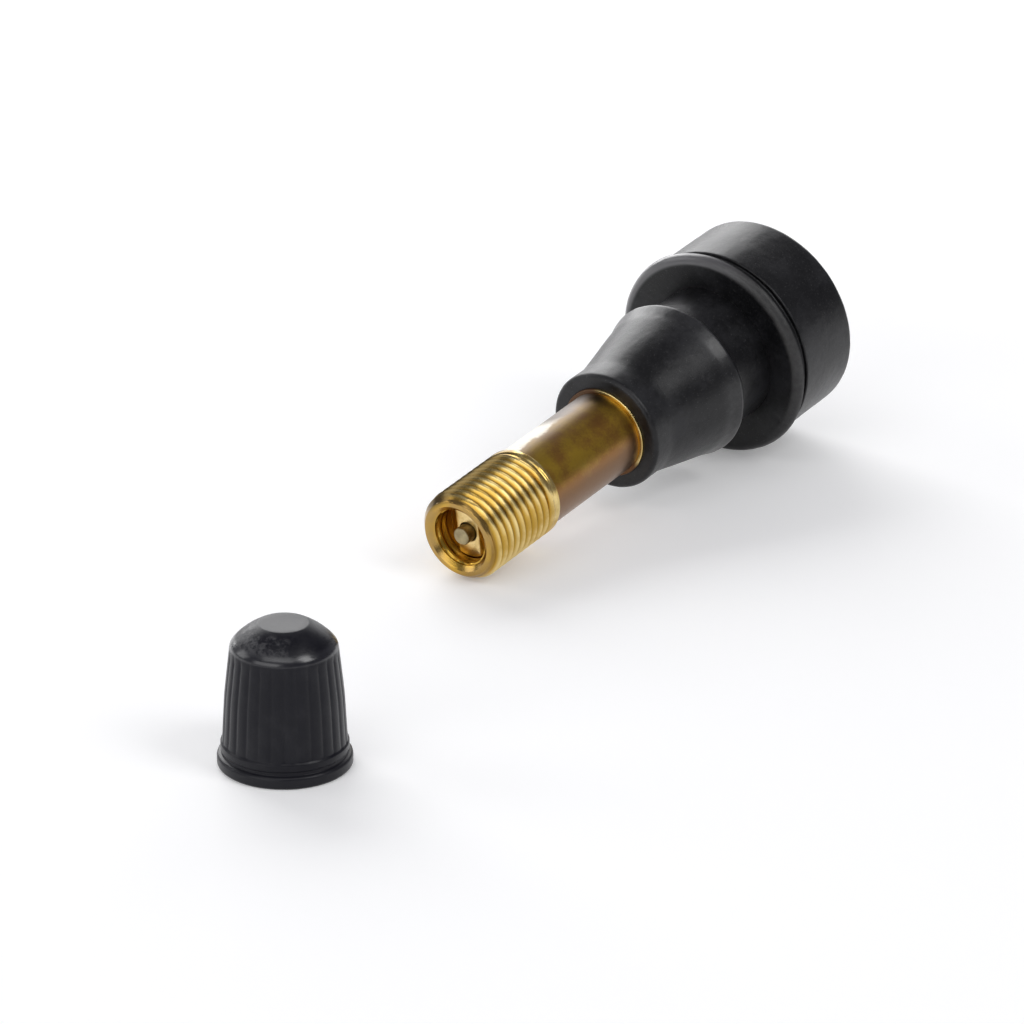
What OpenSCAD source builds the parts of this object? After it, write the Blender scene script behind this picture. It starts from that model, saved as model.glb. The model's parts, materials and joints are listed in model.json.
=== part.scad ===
// Snap-in tyre valve with a bare brass stem, lying on its side, and its cap standing beside it.
// Millimetres. The origin is on the valve's axis in the plane of the rim seat, and +Z is up.
// Each valve piece is turned about its own Z axis, which runs from the rim seat out to the tip.

/* [Stem] */
// Length from the rim seat to the tip of the stem
reach = 35.4; // [33:0.1:45]
// Outside diameter of the cap thread
thread_d = 7.7; // [7.5:0.05:8]
// Length of the cap thread
thread_length = 8.7; // [7:0.1:11]
// Diameter of the flat face at the tip
tip_face_d = 6.5; // [6.2:0.05:6.9]
// Length of the chamfer behind that face
tip_chamfer = 0.7; // [0.4:0.05:1.2]
// Diameter of the plain shank
shank_d = 7.2; // [6.8:0.05:7.4]
// Diameter of the collar that the rubber grips
collar_d = 7.85; // [7.6:0.05:8.4]
// Length of collar left bare in front of the rubber
collar_bare = 0.2; // [0.1:0.05:0.6]
// Number of grip grooves around the buried collar
grip_count = 4; // [2:1:5]
// Radius of each grip groove's round section
grip_r = 0.5; // [0.3:0.05:0.7]
// Distance from one grip groove to the next
grip_pitch = 2.4; // [2:0.1:2.6]
// Diameter of the foot inside the rubber base
foot_d = 11.6; // [10.5:0.1:12.5]
// Thickness of the foot
foot_thickness = 1.6; // [1:0.1:2.2]
// Depth of the foot's front face below the rim seat
foot_depth = 2.6; // [2:0.1:3.4]

/* [Bore] */
// Diameter of the countersink at the mouth
mouth_d = 5.6; // [5.4:0.05:5.8]
// Depth of the countersink
mouth_depth = 0.35; // [0.2:0.05:0.6]
// Diameter of the bore that takes the core's plug
core_bore_d = 5; // [4.9:0.02:5.2]
// Diameter at the wide end of the sealing cone
cone_d = 4.6; // [4.5:0.02:4.8]
// Diameter of the long air passage
passage_d = 4; // [3.9:0.02:4.2]
// Depth of the air passage below the mouth
passage_depth = 30; // [24:0.5:32]
// Diameter of the air hole through the foot and the base
air_hole_d = 2.8; // [2:0.1:3.4]

/* [Rubber body] */
// Depth of the rubber base below the rim seat
base_depth = 8.8; // [7:0.1:10]
// Diameter of the base
base_d = 17.4; // [16.6:0.1:17.6]
// Radius of the base's back edge
base_edge = 0.5; // [0.2:0.1:1.2]
// Diameter of the bead that seals against the rim
bead_d = 18.2; // [17.8:0.1:19.5]
// Width of the bead along the axis
bead_width = 1.25; // [1.1:0.05:2]
// Radius of the bead's front edge
bead_edge = 0.7; // [0.4:0.05:0.8]
// Radius of the edges of the small step behind the bead
step_edge = 0.14; // [0.05:0.01:0.2]
// Depth of the groove at the foot of that step
step_groove_depth = 0.3; // [0.1:0.05:0.5]
// Width of that groove along the axis
step_groove_width = 0.9; // [0.6:0.05:1.4]
// Diameter of the neck that the rim hole squeezes
neck_d = 11.9; // [11.4:0.1:12.6]
// Width of the rim groove along the axis
groove_width = 4.5; // [3.5:0.1:5]
// Radius in the corners of the rim groove
groove_corner = 0.6; // [0.3:0.1:0.8]
// Diameter of the bulb edge that snaps through the rim hole
bulb_d = 14.1; // [13.6:0.1:15.4]
// Radius of the bulb edge
bulb_edge = 0.45; // [0.2:0.05:0.7]
// Diameter of the nose
nose_d = 10.3; // [9.8:0.1:10.8]
// Length of the nose in front of the bulb edge
nose_length = 10.6; // [9:0.1:12]
// Length of the straight lip at the nose's front
nose_lip = 2.6; // [1.8:0.1:3.4]
// Radius of the nose's front edge
nose_edge = 0.4; // [0.1:0.05:0.5]
// Radius of the sweep from the lip into the flank
nose_sweep = 4; // [1:0.5:6]
// Diameter of the dish in the back of the base
dish_d = 11.5; // [9:0.1:14]
// Depth of that dish
dish_depth = 0.9; // [0.4:0.1:1.4]

/* [Core] */
// Depth of the pin's head below the mouth
pin_recess = 0.4; // [0.2:0.05:0.8]
// Diameter of the pin's head
pin_head_d = 1.5; // [1.3:0.05:1.6]
// Diameter of the pin's shaft
pin_d = 0.9; // [0.8:0.02:1]
// Diameter of the stop collar on the pin
pin_stop_d = 1.9; // [1.8:0.02:2]
// Thickness of the stop collar and of the pin's riveted end
pin_stop_thickness = 0.45; // [0.3:0.05:0.6]
// How far the pin can be pushed, until its head is level with the bridge
pin_travel = 1; // [0.6:0.1:1.4]
// Width of the bridge across the plug
bridge_width = 2.2; // [2:0.05:2.5]
// Height of the bridge above the plug's thread
bridge_height = 1.7; // [1.2:0.1:2.4]
// Turn of the bridge about the valve's axis, degrees
bridge_turn = 92; // [0:1:180]
// Length of the plug's threaded ring
plug_length = 3.2; // [2.6:0.1:4]
// Bore through the plug's ring
plug_bore_d = 3.1; // [2.9:0.02:3.2]
// Length of the skirt that is rolled around the barrel's head
skirt_length = 1.4; // [1.2:0.05:1.8]
// Wall of that skirt
skirt_wall = 0.35; // [0.25:0.01:0.42]
// Height of the skirt's rolled lip
skirt_lip = 0.45; // [0.3:0.05:0.5]
// Diameter of the barrel's neck under the gasket
neck_tube_d = 2.8; // [2.7:0.02:2.9]
// Length of the tapered gasket
gasket_length = 2.6; // [2:0.1:3.2]
// Thickness of the shoulder that carries the gasket
shoulder_thickness = 0.5; // [0.3:0.05:0.8]
// Diameter of the barrel's lower tube
barrel_d = 3.3; // [3.1:0.02:3.4]
// Length of the barrel's lower tube
barrel_length = 2.7; // [2:0.1:4]
// Bore of the barrel, around the spring
barrel_bore_d = 2.1; // [2.02:0.02:2.16]
// Thickness of the barrel's end wall
end_wall = 0.7; // [0.4:0.05:1]
// Hole in the end wall, around the pin
end_hole_d = 1.5; // [1.3:0.05:1.6]
// Diameter of the barrel's sealing lip
lip_d = 2.5; // [2.3:0.02:2.6]
// Height and thickness of that lip
lip_size = 0.35; // [0.2:0.05:0.4]
// Diameter of the seal cup
cup_d = 3.4; // [3.2:0.02:3.5]
// Wall of the seal cup
cup_wall = 0.22; // [0.15:0.01:0.3]
// Thickness of the cup's floor
cup_floor = 0.45; // [0.3:0.05:0.6]
// Thickness of the sealing ring in the cup
seal_thickness = 0.9; // [0.6:0.05:1.2]
// How far that ring stands out of the cup
seal_proud = 0.25; // [0.1:0.05:0.4]
// Wire of the spring
spring_wire = 0.26; // [0.2:0.01:0.28]
// Diameter of the spring's coil, at the middle of the wire
spring_d = 1.56; // [1.5:0.01:1.6]
// Turns of the spring
spring_turns = 9; // [6:1:11]

/* [Cap] */
// Height of the cap
cap_height = 11.3; // [10.5:0.1:13]
// Diameter of the flange at the cap's mouth
cap_flange_d = 10.15; // [10:0.05:11]
// Height of that flange
cap_flange_height = 0.95; // [0.6:0.05:1.3]
// Height of the groove above the flange
cap_groove_height = 0.35; // [0.2:0.05:0.6]
// Depth of that groove behind the bead above it
cap_groove_depth = 0.15; // [0.1:0.01:0.25]
// Height of the bead above the groove
cap_bead_height = 0.6; // [0.4:0.05:0.9]
// How far the bead stands out from the ribbed wall
cap_bead_proud = 0.1; // [0.05:0.01:0.2]
// Diameter across the ribs at the bottom of the ribbed wall
cap_wall_d = 9.4; // [9.2:0.05:9.8]
// Diameter across the ribs at the shoulder
cap_shoulder_d = 8.2; // [8:0.05:9]
// Height of the shoulder
cap_shoulder_height = 9.5; // [8.5:0.1:9.8]
// Diameter of the flat disc on top
cap_top_d = 3.8; // [3:0.1:5]
// How far the dome bulges out of a straight cone between shoulder and disc
cap_crown = 0.15; // [0.05:0.05:0.3]
// Radius of the shoulder and of the edge of the top disc
cap_edge = 0.5; // [0.2:0.05:0.7]
// Number of ribs around the cap
cap_ribs = 28; // [20:1:30]
// Depth of the grooves between the ribs
cap_rib_depth = 0.1; // [0.05:0.01:0.12]
// Radius of the grooves between the ribs
cap_rib_r = 0.3; // [0.2:0.05:0.4]
// Depth of the threaded bore from the cap's mouth
cap_thread_depth = 6.6; // [5:0.1:7.2]
// Diameter of the room above the thread
cap_room_d = 6.4; // [5:0.1:6.8]
// Thickness of the cap's top
cap_top_thickness = 1.4; // [1:0.1:2]
// Place of the cap to the side of the valve's axis
cap_side = 10.5; // [8:0.1:30]
// Place of the cap's axis ahead of the stem's tip
cap_ahead = 35; // [8:0.5:60]

/* [Fits] */
// Radial gap between the plug's thread and the stem's bore
thread_gap = 0.03; // [0.01:0.01:0.06]
// Radial gap between the cap's bore and the stem's thread
cap_gap = 0.05; // [0.03:0.01:0.1]
// Radial running gap around the pin's head
pin_gap = 0.08; // [0.05:0.01:0.12]
// Gap around the barrel's head in the plug's skirt
swivel_gap = 0.05; // [0.02:0.01:0.08]
// Gap at each end of the spring
spring_gap = 0.02; // [0.01:0.01:0.05]

/* [Hidden] */
$fn = 96;

brass = [0.72, 0.58, 0.30];
aged_brass = [0.52, 0.42, 0.24];
spring_steel = [0.55, 0.55, 0.56];
black_rubber = [0.08, 0.08, 0.09];
seal_rubber = [0.14, 0.13, 0.13];
black_plastic = [0.11, 0.11, 0.12];

// Small overlap that keeps a cut clear of the face it starts at
cut = 0.5;
// A drill leaves a cone of this height for each unit of radius
drill_tip = 0.6;
// Sides of the spring's wire and rings in each of its turns
wire_sides = 8;
rings_per_turn = 16;
// Bands of the cap's dome
dome_bands = 6;
// Sides of the circles that round an edge or fill a corner
edge_sides = 32;
// Sides of the round cutter of each rib groove
groove_sides = 24;
// Share of the flange's height that each of its edges is rounded by
flange_edge_share = 0.3;
// Share of the pin head's diameter that its edge is chamfered by
head_chamfer_share = 0.1;

// Places along the axis, measured from the rim seat
nose_front = groove_width + nose_length;
collar_front = nose_front + collar_bare;
thread_end = reach - thread_length;
foot_back = -foot_depth - foot_thickness;
base_back = -base_depth;

// Depths below the stem's mouth
bridge_depth = pin_recess + pin_travel;
bridge_bottom = bridge_depth + bridge_height;
plug_end = bridge_bottom + plug_length;
skirt_end = plug_end + skirt_length;
gasket_top = skirt_end + swivel_gap;
gasket_end = gasket_top + gasket_length;
shoulder_end = gasket_end + shoulder_thickness;
barrel_end = shoulder_end + barrel_length;
lip_end = barrel_end + lip_size;
seal_end = lip_end + seal_thickness;
cup_end = seal_end + cup_floor;
pin_stop_top = bridge_bottom + pin_gap;
pin_stop_bottom = pin_stop_top + pin_stop_thickness;
end_wall_top = barrel_end - end_wall;
rivet_end = cup_end + pin_stop_thickness;

// Radii that follow from the fits
plug_r = core_bore_d / 2 - thread_gap;
skirt_r = cone_d / 2 - thread_gap;
head_room_r = skirt_r - skirt_wall;
barrel_head_r = head_room_r - swivel_gap;
skirt_lip_r = neck_tube_d / 2 + swivel_gap;
shoulder_r = passage_d / 2 - swivel_gap;
seal_r = cup_d / 2 - cup_wall;
cap_bore_r = thread_d / 2 + cap_gap;

// The valve lies on the front edge of its bead and on the edge of its thread's chamfer.
// The floor is the line that touches that point and the bead edge's arc.
bead_arc_r = bead_d / 2 - bead_edge;
rise = bead_arc_r - thread_d / 2;
run = reach - tip_chamfer + bead_edge;
rest_tilt = atan2(rise, run) + asin(bead_edge / norm([rise, run]));
floor_z = -(reach - tip_chamfer) * sin(rest_tilt) - thread_d / 2 * cos(rest_tilt);
cap_y = -reach * cos(rest_tilt) - cap_ahead;

// Ribbed wall of the cap
cap_wall_bottom = cap_flange_height + cap_groove_height + cap_bead_height;
cap_wall_height = cap_shoulder_height - cap_wall_bottom;
cap_wall_lean = atan2((cap_wall_d - cap_shoulder_d) / 2, cap_wall_height);

// Puts a piece made along Z into the lying valve
module lay_down() {
    rotate([90 + rest_tilt, 0, 0]) children();
}

// Turns Z around, so that a core piece is made by its depth below the stem's mouth
module below_mouth() {
    lay_down() translate([0, 0, reach]) rotate([180, 0, 0]) children();
}

// Turns a list of [radius, height] corners into a solid
module turned(corners) {
    rotate_extrude() polygon(corners);
}

// A corner's place along the way to its neighbour, at a given distance
function toward(a, b, distance) = a + (b - a) * distance / norm(b - a);

// Distance from a corner to where an arc of radius r meets its sides
function setback(a, b, c, r) =
    let (u = (a - b) / norm(a - b), v = (c - b) / norm(c - b), half = acos(u * v) / 2) r / tan(half);

// Centre of the arc that rounds the corner b between a and c
function arc_centre(a, b, c, r) =
    let (u = (a - b) / norm(a - b), v = (c - b) / norm(c - b), half = acos(u * v) / 2)
    b + (u + v) / norm(u + v) * r / sin(half);

// Closed outline of [x, y, r] corners. A positive r rounds a corner and a negative one fills it.
module rounded_outline(corners) {
    count = len(corners);
    function xy(i) = let (c = corners[(i + count) % count]) [c[0], c[1]];
    function reach_at(i) = setback(xy(i - 1), xy(i), xy(i + 1), abs(corners[i][2]));
    function ends_at(i) = corners[i][2] == 0
        ? [xy(i)]
        : [toward(xy(i), xy(i - 1), reach_at(i)), toward(xy(i), xy(i + 1), reach_at(i))];
    function centre_at(i) = arc_centre(xy(i - 1), xy(i), xy(i + 1), abs(corners[i][2]));
    module arc_circle(i) {
        translate(centre_at(i)) circle(abs(corners[i][2]), $fn = edge_sides);
    }
    difference() {
        union() {
            polygon([for (i = [0 : count - 1]) each ends_at(i)]);
            for (i = [0 : count - 1]) if (corners[i][2] > 0) arc_circle(i);
        }
        for (i = [0 : count - 1]) if (corners[i][2] < 0) arc_circle(i);
    }
}

// Outside of the stem without its bore, which is also the room for it in the rubber
module stem_outside() {
    difference() {
        turned([
            [0, foot_back], [foot_d / 2, foot_back], [foot_d / 2, -foot_depth], [collar_d / 2, -foot_depth],
            [collar_d / 2, collar_front], [shank_d / 2, collar_front],
            [shank_d / 2, thread_end - (thread_d - shank_d) / 2], [thread_d / 2, thread_end],
            [thread_d / 2, reach - tip_chamfer], [tip_face_d / 2, reach], [0, reach]
        ]);
        for (i = [1 : grip_count])
            rotate_extrude() translate([collar_d / 2 + grip_r / 2, i * grip_pitch]) circle(grip_r);
    }
}

// Brass stem: cap thread, shank, collar and foot around the core's bore
module stem() {
    color(brass) difference() {
        lay_down() stem_outside();
        below_mouth() turned([
            [0, -cut], [mouth_d / 2, -cut], [mouth_d / 2, 0], [core_bore_d / 2, mouth_depth],
            [core_bore_d / 2, skirt_end], [cone_d / 2, gasket_top], [passage_d / 2, gasket_end],
            [passage_d / 2, passage_depth],
            [air_hole_d / 2, passage_depth + (passage_d - air_hole_d) / 2 * drill_tip],
            [air_hole_d / 2, reach - foot_back + cut], [0, reach - foot_back + cut]
        ]);
    }
}

// Moulded rubber around the stem: base, bead, rim groove, bulb edge and nose
module rubber_body() {
    color(black_rubber) lay_down() difference() {
        rotate_extrude() rounded_outline([
            [air_hole_d / 2, base_back + dish_depth, 0],
            [dish_d / 2, base_back, 0],
            [base_d / 2, base_back, base_edge],
            [base_d / 2, -bead_width - step_groove_width, step_edge],
            [base_d / 2 - step_groove_depth, -bead_width - step_groove_width, -step_edge],
            [base_d / 2 - step_groove_depth, -bead_width, -step_edge],
            [bead_d / 2, -bead_width, step_edge],
            [bead_d / 2, 0, bead_edge],
            [neck_d / 2, 0, -groove_corner],
            [neck_d / 2, groove_width, -groove_corner],
            [bulb_d / 2, groove_width, bulb_edge],
            [nose_d / 2, nose_front - nose_lip, -nose_sweep],
            [nose_d / 2, nose_front, nose_edge],
            [air_hole_d / 2, nose_front, 0]
        ]);
        stem_outside();
    }
}

// Brass plug screwed into the stem: bridge across its top, and skirt rolled under the barrel's head
module core_plug() {
    color(brass) below_mouth() difference() {
        union() {
            intersection() {
                translate([0, 0, bridge_depth]) cylinder(r = skirt_r, h = bridge_height);
                rotate(-bridge_turn)
                    translate([-core_bore_d, -bridge_width / 2, bridge_depth])
                        cube([2 * core_bore_d, bridge_width, bridge_height]);
            }
            turned([
                [0, bridge_bottom], [plug_r, bridge_bottom], [plug_r, plug_end], [skirt_r, plug_end],
                [skirt_r, skirt_end], [0, skirt_end]
            ]);
        }
        translate([0, 0, bridge_depth - cut])
            cylinder(d = pin_head_d + 2 * pin_gap, h = bridge_height + 2 * cut);
        turned([
            [0, bridge_bottom], [plug_bore_d / 2, bridge_bottom], [plug_bore_d / 2, plug_end],
            [head_room_r, plug_end], [head_room_r, skirt_end - skirt_lip], [skirt_lip_r, skirt_end - skirt_lip],
            [skirt_lip_r, skirt_end + cut], [0, skirt_end + cut]
        ]);
    }
}

// Brass barrel: head in the plug's skirt, neck for the gasket, tube around the spring and the sealing lip
module core_barrel() {
    neck_r = neck_tube_d / 2;
    color(aged_brass) below_mouth() turned([
        [barrel_bore_d / 2, plug_end], [barrel_head_r, plug_end],
        [barrel_head_r, skirt_end - skirt_lip - swivel_gap], [neck_r, skirt_end - skirt_lip - swivel_gap],
        [neck_r, gasket_end], [shoulder_r, gasket_end], [shoulder_r, shoulder_end],
        [barrel_d / 2, shoulder_end], [barrel_d / 2, barrel_end], [lip_d / 2 + lip_size / 2, barrel_end],
        [lip_d / 2, lip_end], [lip_d / 2 - lip_size / 2, lip_end], [lip_d / 2 - lip_size, barrel_end],
        [end_hole_d / 2, barrel_end], [end_hole_d / 2, end_wall_top], [barrel_bore_d / 2, end_wall_top]
    ]);
}

// Tapered sealing ring between the barrel's neck and the stem's cone
module barrel_gasket() {
    color(seal_rubber) below_mouth() turned([
        [neck_tube_d / 2, gasket_top], [cone_d / 2, gasket_top],
        [passage_d / 2, gasket_end], [neck_tube_d / 2, gasket_end]
    ]);
}

// Pin with its head, its stop collar for the spring and its riveted inner end
module core_pin() {
    head_chamfer = pin_head_d * head_chamfer_share;
    color(aged_brass) below_mouth() turned([
        [0, pin_recess], [pin_head_d / 2 - head_chamfer, pin_recess],
        [pin_head_d / 2, pin_recess + head_chamfer], [pin_head_d / 2, pin_stop_top],
        [pin_stop_d / 2, pin_stop_top], [pin_stop_d / 2, pin_stop_bottom],
        [pin_d / 2, pin_stop_bottom], [pin_d / 2, cup_end],
        [pin_head_d / 2, cup_end], [pin_d / 2, rivet_end], [0, rivet_end]
    ]);
}

// Coil spring between the pin's stop and the barrel's end wall, swept ring by ring
module core_spring() {
    wire_r = spring_wire / 2;
    top = pin_stop_bottom + spring_gap + wire_r;
    bottom = end_wall_top - spring_gap - wire_r;
    rings = spring_turns * rings_per_turn;
    function wire_point(ring, side) =
        let (turn = 360 * ring / rings_per_turn, around = 360 * side / wire_sides)
        let (r = spring_d / 2 + wire_r * cos(around))
        [r * cos(turn), r * sin(turn), top + (bottom - top) * ring / rings + wire_r * sin(around)];
    function id(ring, side) = ring * wire_sides + side % wire_sides;
    points = [for (ring = [0 : rings]) for (side = [0 : wire_sides - 1]) wire_point(ring, side)];
    skin = [
        for (ring = [0 : rings - 1]) for (side = [0 : wire_sides - 1])
            each [
                [id(ring, side), id(ring, side + 1), id(ring + 1, side + 1)],
                [id(ring, side), id(ring + 1, side + 1), id(ring + 1, side)]
            ]
    ];
    first_end = [for (side = [wire_sides - 1 : -1 : 0]) id(0, side)];
    last_end = [for (side = [0 : wire_sides - 1]) id(rings, side)];
    color(spring_steel) below_mouth() polyhedron(points, concat(skin, [first_end, last_end]));
}

// Small brass cup at the pin's inner end
module seal_cup() {
    color(aged_brass) below_mouth() turned([
        [pin_d / 2, seal_end], [seal_r, seal_end], [seal_r, lip_end + seal_proud],
        [cup_d / 2, lip_end + seal_proud], [cup_d / 2, cup_end - cup_wall], [cup_d / 2 - cup_wall, cup_end],
        [pin_d / 2, cup_end]
    ]);
}

// Sealing ring in that cup, shut against the barrel's lip
module cup_seal() {
    color(seal_rubber) below_mouth() turned([
        [pin_d / 2, lip_end], [seal_r, lip_end], [seal_r, seal_end], [pin_d / 2, seal_end]
    ]);
}

// One groove of the cap's ribbed wall, leaning with the wall up to where the shoulder starts to round
module cap_rib_groove() {
    translate([cap_wall_d / 2 + cap_rib_r - cap_rib_depth, 0, cap_wall_bottom])
        rotate([0, -cap_wall_lean, 0])
            cylinder(r = cap_rib_r, h = cap_wall_height / cos(cap_wall_lean) - cap_edge / 2, $fn = groove_sides);
}

// Plastic cap, standing on its mouth: flange, bead, ribbed wall and domed top
module cap() {
    bead_bottom = cap_flange_height + cap_groove_height;
    bead_r = cap_wall_d / 2 + cap_bead_proud;
    flange_edge = cap_flange_height * flange_edge_share;
    room_top = cap_height - cap_top_thickness;
    room_r = cap_room_d / 2;
    room_bevel = room_r / 2;
    shoulder = [cap_shoulder_d / 2, cap_shoulder_height];
    disc_edge = [cap_top_d / 2, cap_height];
    slope = disc_edge - shoulder;
    outward = [slope[1], -slope[0]] / norm(slope);
    function dome(share) = shoulder + slope * share + outward * cap_crown * 4 * share * (1 - share);
    color(black_plastic) translate([cap_side, cap_y, floor_z]) difference() {
        rotate_extrude() rounded_outline([
            [0, 0, 0],
            [cap_flange_d / 2, 0, flange_edge],
            [cap_flange_d / 2, cap_flange_height, flange_edge],
            [bead_r - cap_groove_depth, cap_flange_height, 0],
            [bead_r - cap_groove_depth, bead_bottom, 0],
            [bead_r, bead_bottom, 0],
            [bead_r, cap_wall_bottom, 0],
            [cap_wall_d / 2, cap_wall_bottom, 0],
            [shoulder[0], shoulder[1], cap_edge],
            for (i = [1 : dome_bands - 1]) let (p = dome(i / dome_bands)) [p[0], p[1], 0],
            [disc_edge[0], disc_edge[1], cap_edge],
            [0, cap_height, 0]
        ]);
        for (i = [0 : cap_ribs - 1]) rotate(360 * i / cap_ribs) cap_rib_groove();
        turned([
            [0, -cut], [cap_bore_r, -cut], [cap_bore_r, cap_thread_depth], [room_r, cap_thread_depth],
            [room_r, room_top - room_bevel], [room_r - room_bevel, room_top], [0, room_top]
        ]);
    }
}

stem();
rubber_body();
core_plug();
core_barrel();
barrel_gasket();
core_pin();
core_spring();
seal_cup();
cup_seal();
cap();
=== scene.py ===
# %% [markdown]
# # A snap-in tyre valve and its cap
# The solids of this valve are finished, and this lesson dresses them. A valve lies on its side with its
# brass stem towards us, and the plastic cap that was screwed off it stands beside it. The solids are
# loaded as a fixed frame in metres, so every new piece goes where its solid is, with no fitting by eye.

# %% Load the solids
import json
import math

import bmesh
import bpy
from mathutils import Matrix, Vector, noise


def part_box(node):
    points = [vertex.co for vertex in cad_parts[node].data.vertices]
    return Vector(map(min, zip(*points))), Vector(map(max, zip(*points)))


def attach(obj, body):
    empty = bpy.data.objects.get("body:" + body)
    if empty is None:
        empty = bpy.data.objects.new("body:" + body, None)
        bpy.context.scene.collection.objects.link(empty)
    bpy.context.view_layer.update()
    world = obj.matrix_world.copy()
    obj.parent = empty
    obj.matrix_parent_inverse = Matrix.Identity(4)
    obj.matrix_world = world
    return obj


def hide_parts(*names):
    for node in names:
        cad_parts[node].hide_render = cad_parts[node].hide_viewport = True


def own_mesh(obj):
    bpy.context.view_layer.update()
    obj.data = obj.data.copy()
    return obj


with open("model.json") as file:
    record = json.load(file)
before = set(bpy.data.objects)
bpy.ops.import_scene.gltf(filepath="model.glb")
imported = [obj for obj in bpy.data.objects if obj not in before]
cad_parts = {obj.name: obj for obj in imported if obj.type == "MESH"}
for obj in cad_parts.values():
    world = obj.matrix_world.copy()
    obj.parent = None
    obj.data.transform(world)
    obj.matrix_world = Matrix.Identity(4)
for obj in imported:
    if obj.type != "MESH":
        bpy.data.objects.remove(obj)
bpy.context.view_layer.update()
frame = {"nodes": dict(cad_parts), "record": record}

print("solids:", ", ".join(sorted(frame["nodes"])))

# %% [markdown]
# ## The frames of the two things
# Nearly everything on a valve is turned, so it is easiest to draw along the Z axis, in millimetres, and to
# lay down at the end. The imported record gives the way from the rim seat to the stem's tip, and the turn
# from +Z to that way lays the valve down. The cap stands upright, so it only needs a place, and the box of
# its solid gives that. The same two frames serve the materials later, so that their patterns run along the
# valve's own axis.

# %% Frames for the lying valve and the standing cap
MM = 0.001
mounts = {mount["name"]: mount for mount in frame["record"]["mounts"]}
tip_way = Vector(mounts["rim_seat"]["axis"])
LYING = Vector((0, 0, 1)).rotation_difference(tip_way).to_matrix().to_4x4()
cap_low, cap_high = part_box("cap")
floor_z = cap_low.z
STANDING = Matrix.Translation(((cap_low.x + cap_high.x) / 2, (cap_low.y + cap_high.y) / 2, floor_z))
print("the valve lies", round(math.degrees(math.acos(-tip_way.y)), 2), "degrees nose down")

# %% [markdown]
# ## The camera
# A small product is photographed from well back with a long lens, which keeps circles at the near and the
# far end nearly the same size. The eye's place and the point it looks at were found by matching the edges
# of the solids to the photograph, with the horizon a third of a degree off level.

# %% Place the camera
EYE_MM = Vector((245.04, -358.52, 163.47))
AIM_MM = Vector((-10.52, -13.50, -12.44))
CAMERA_ROLL = math.radians(0.355)
SENSOR_MM = 36
LENS_MM = 193.4
NEAREST_SEEN = 0.01
camera_data = bpy.data.cameras.new("camera")
camera_data.sensor_width = SENSOR_MM
camera_data.lens = LENS_MM
camera_data.clip_start = NEAREST_SEEN
camera = bpy.data.objects.new("camera", camera_data)
bpy.context.scene.collection.objects.link(camera)
aim_turn = (AIM_MM - EYE_MM).to_track_quat("-Z", "Y").to_matrix().to_4x4()
camera.matrix_world = Matrix.Translation(EYE_MM * MM) @ aim_turn @ Matrix.Rotation(CAMERA_ROLL, 4, "Z")
bpy.context.scene.camera = camera
print("camera", [round(value, 3) for value in camera.location], "m, lens", LENS_MM, "mm")

# %% [markdown]
# ## Outlines with soft corners
# No real edge is perfectly sharp, and it is the small rounding that catches the light. A bevel modifier
# could round a finished mesh, but on turned work it is neater to round the outline before it is turned.
# Each corner is (radius, height, rounding), and an arc takes the place of a corner with a rounding.

# %% Round the corners of an outline
ARC_STEP = math.radians(10)
FEWEST_STEPS = 2


def rounded(corners):
    """Points (radius, height) of an open outline, with an arc in place of each rounded corner."""
    points = []
    for i, (radius, height, rounding) in enumerate(corners):
        corner = Vector((radius, height))
        if not rounding:
            points.append(corner)
            continue
        back = (Vector(corners[i - 1][:2]) - corner).normalized()
        ahead = (Vector(corners[i + 1][:2]) - corner).normalized()
        half = back.angle(ahead) / 2
        centre = corner + (back + ahead).normalized() * rounding / math.sin(half)
        start = corner + back * rounding / math.tan(half) - centre
        end = corner + ahead * rounding / math.tan(half) - centre
        turn = math.atan2(start.cross(end), start.dot(end))
        steps = max(FEWEST_STEPS, math.ceil(abs(turn) / ARC_STEP))
        for step in range(steps + 1):
            points.append(centre + Matrix.Rotation(turn * step / steps, 2) @ start)
    return points


def with_steps(points, longest):
    """The same outline, with its long straight runs cut into shorter ones."""
    finer = [points[0]]
    for start, end in zip(points, points[1:]):
        parts = max(1, math.ceil((end - start).length / longest))
        finer += [start.lerp(end, part / parts) for part in range(1, parts + 1)]
    return finer


square_corner = rounded([(0, 0, 0), (1, 0, 0.2), (1, 1, 0)])
print("a corner of 90 degrees becomes", len(square_corner) - 2, "points")

# %% [markdown]
# ## A skin made ring by ring
# A screw modifier turns an outline too, but it can't cut ribs or a screw thread in the same mesh. So a
# small class builds the mesh with bmesh, ring by ring around Z. A ring of radius 0 is a single point. The
# radius may be a function of the angle, which is all that ribs need. A thread is a band whose rows climb
# with the angle, so that crests and roots are rows of the mesh and stay crisp: the last column joins the
# first one a whole pitch higher up. Rows that would pass the band's ends melt into the flat rings there.

# %% Build a skin from rings
RIDGE_FLAT = 0.07


def ridge(phase):
    """Height of a thread's ridge, from 0 at the root to 1 at the crest, over one pitch."""
    slope = 1 - abs(2 * phase - 1)
    return min(1, max(0, (slope - RIDGE_FLAT) / (1 - 2 * RIDGE_FLAT)))


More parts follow.
